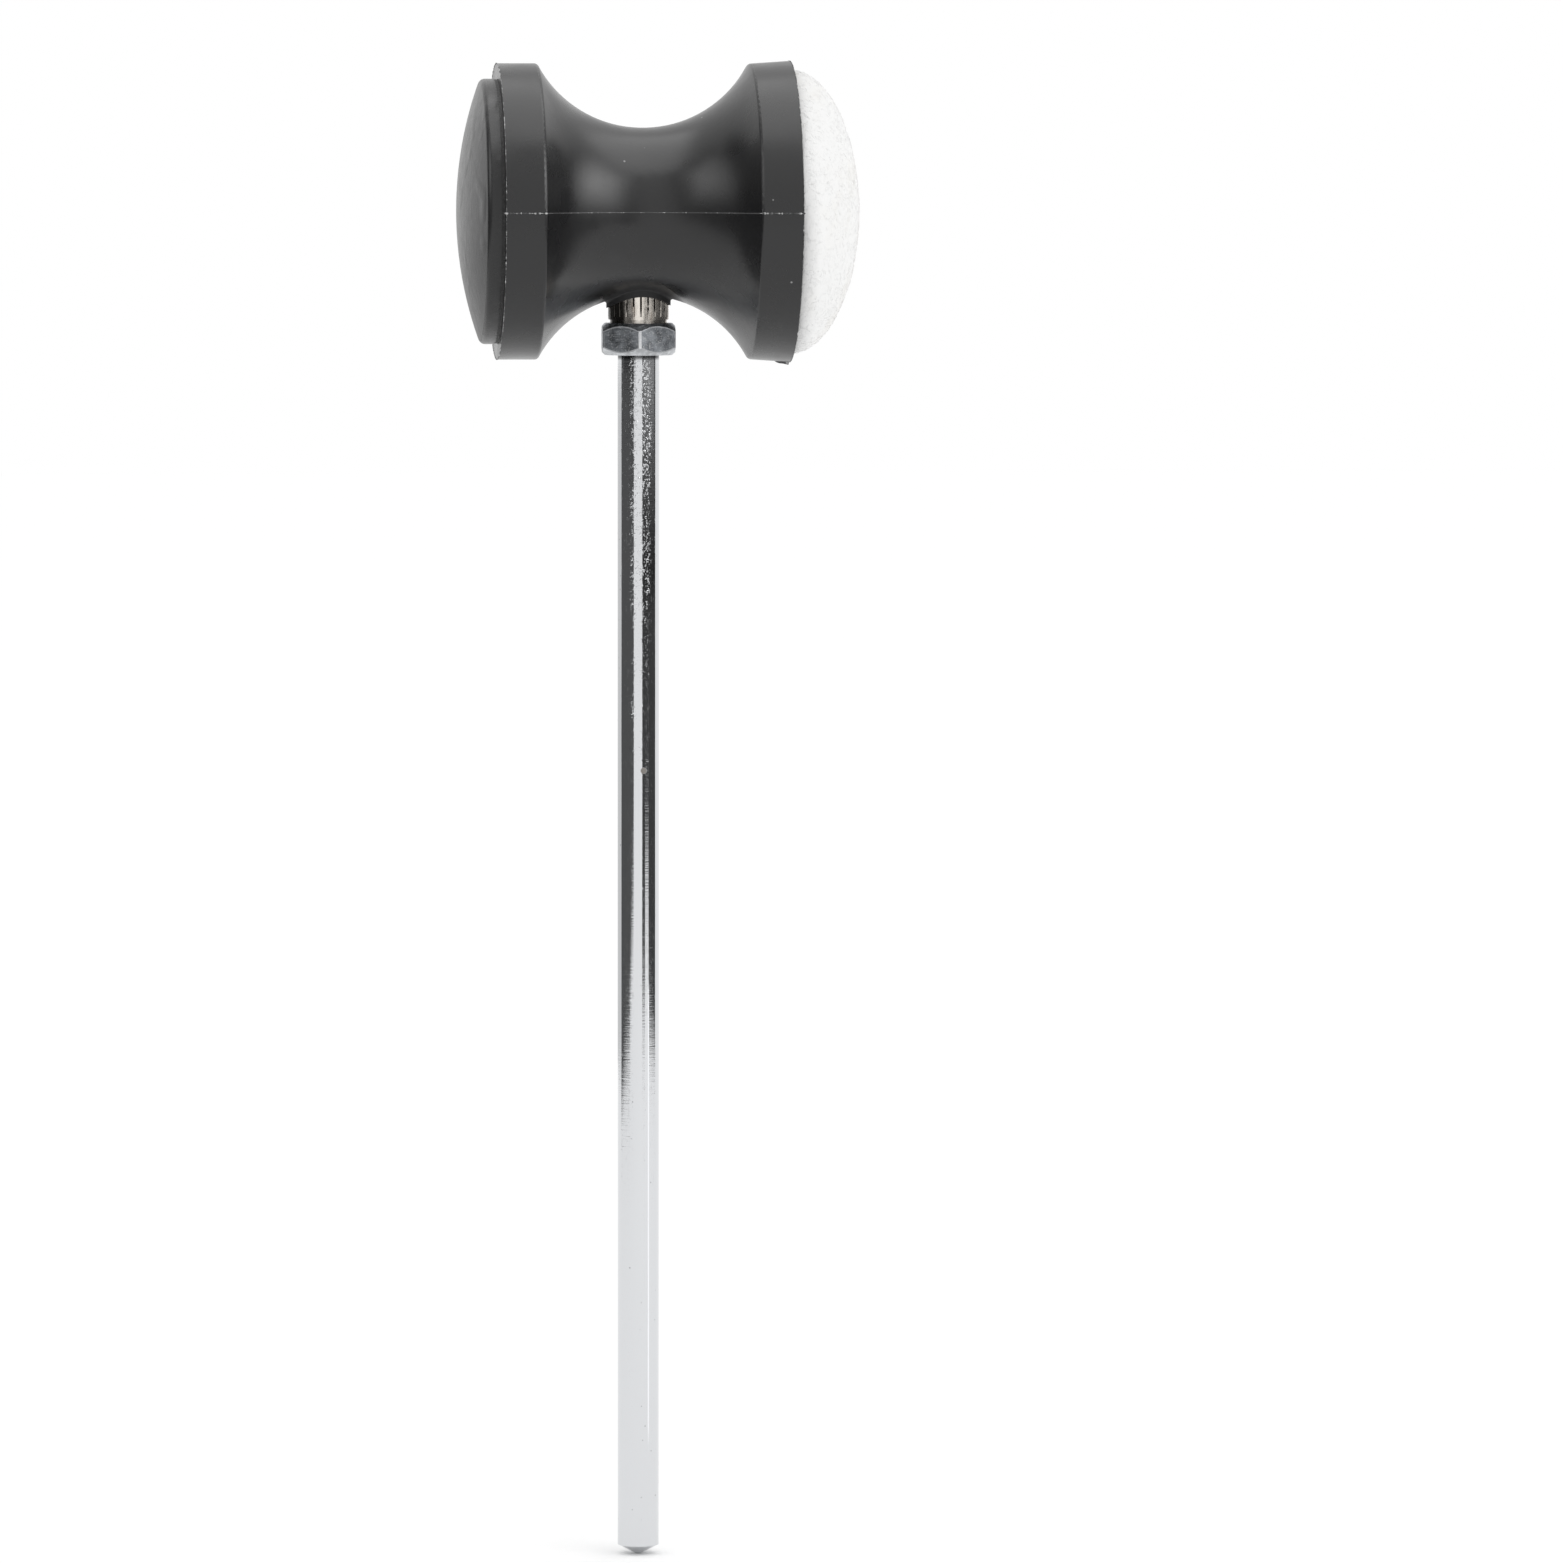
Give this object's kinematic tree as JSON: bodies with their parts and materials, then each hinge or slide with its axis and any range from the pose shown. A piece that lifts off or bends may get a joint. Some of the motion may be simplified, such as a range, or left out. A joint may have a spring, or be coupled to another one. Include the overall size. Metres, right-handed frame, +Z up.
{
  "type": "bass drum beater",
  "caption": "Bass drum beater: spool-shaped head with a hard domed cap at one end and a felt dome at the other, screwed onto a plain rod and held by a hexagon lock nut.",
  "frame": {"origin": "on the rod's axis where the straight shank ends above the point", "axes": "+Z up the rod to the head, +X from the hard cap to the felt, so the pictured side faces -Y"},
  "size_m": [0.0612, 0.0458, 0.2291],
  "materials": {
    "chromed_steel": "bright chrome with fine pits",
    "zinc_plated_steel": "bluish zinc plating, scratched",
    "nickel_plated_brass": "bright nickel plating",
    "black_moulding": "satin black moulding with a parting line",
    "black_cap": "smooth black",
    "black_tape": "matt black",
    "white_felt": "pressed white felt",
    "set_glue": "set contact glue"
  },
  "bodies": {
    "rod": {"rod": "chromed_steel"},
    "lock_nut": {"lock_nut": "zinc_plated_steel"},
    "head": {"head_body": "black_moulding", "threaded_insert": "nickel_plated_brass", "strike_cap": "black_cap", "cap_tape_ring": "black_tape", "felt_pad": "white_felt", "felt_glue_disc": "set_glue"}
  },
  "joints": [
    {"name": "nut_turn", "type": "hinge", "parent": "rod", "child": "lock_nut", "pos_m": [0, 0, 0.1854], "axis": [0, 0, 1], "range_deg": [0, 180]},
    {"name": "head_turn", "type": "hinge", "parent": "rod", "child": "head", "pos_m": [0, 0, 0.2048], "axis": [0, 0, 1], "range_deg": [0, 180]}
  ]
}
